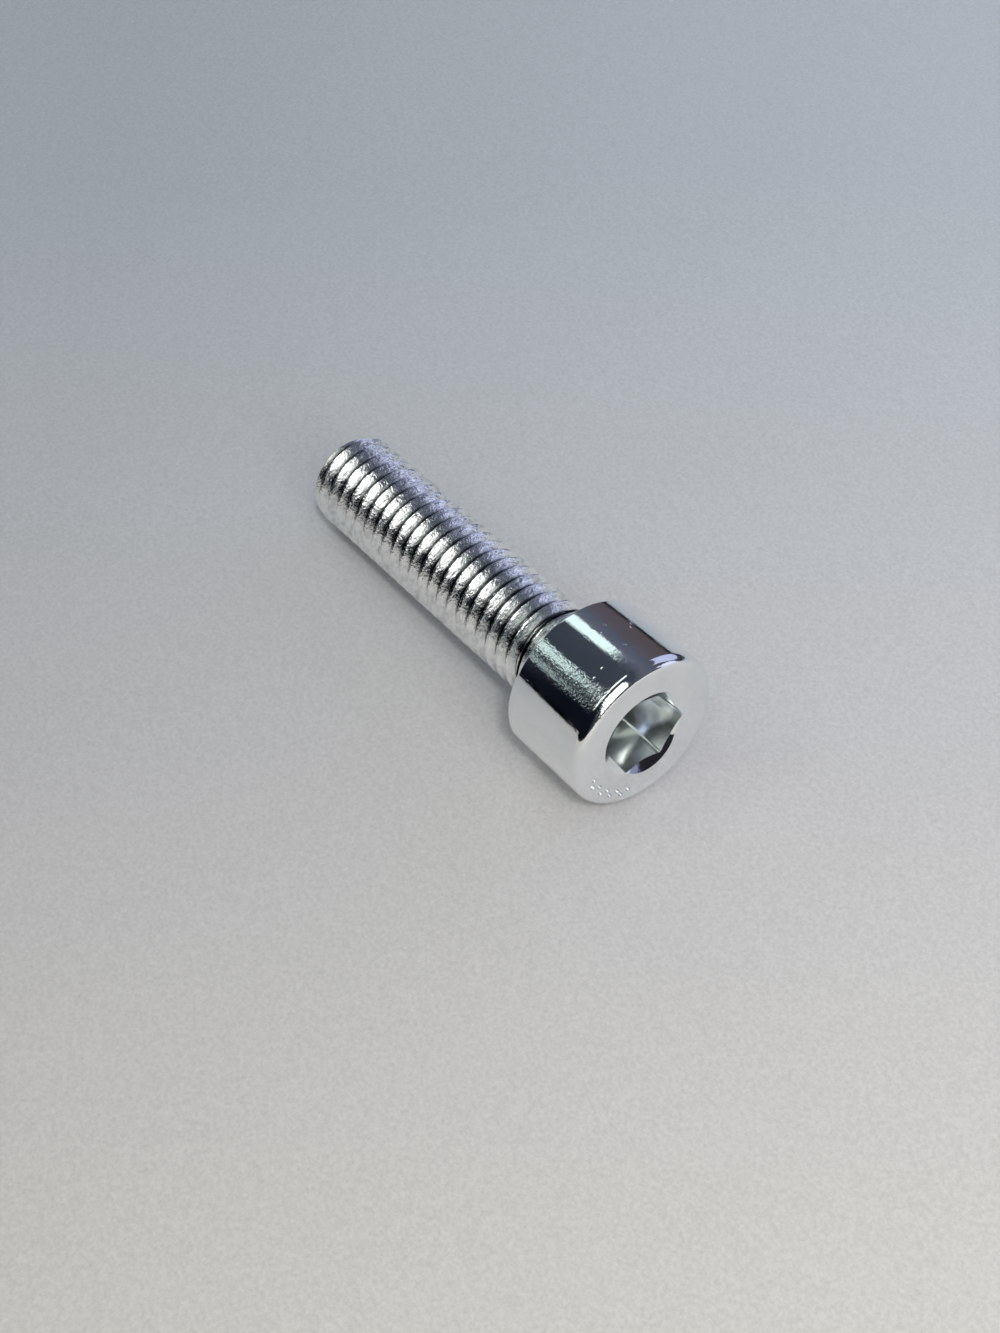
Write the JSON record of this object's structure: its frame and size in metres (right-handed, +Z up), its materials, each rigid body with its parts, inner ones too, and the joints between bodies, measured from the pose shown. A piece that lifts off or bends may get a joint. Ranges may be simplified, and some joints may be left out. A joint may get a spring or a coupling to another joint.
{
  "type": "hex socket cap screw",
  "caption": "Fully threaded cap screw with a smooth cylindrical head, a hexagonal key socket and a coned tip, for clamping parts together.",
  "frame": {"origin": "centre of the head's bearing face, on the screw's axis", "axes": "+X along the screw from the tip towards the head, with the axis rising 4.84 degrees above +X as the screw lies; +Z up; +Y across the screw"},
  "size_m": [0.0387, 0.013, 0.0136],
  "materials": {
    "zinc_plated_steel": "bright zinc plate with a cool silver tint, mirror-like on the head and finely scratched on the thread"
  },
  "bodies": {
    "root": {"cap_screw": "zinc_plated_steel"}
  },
  "joints": []
}
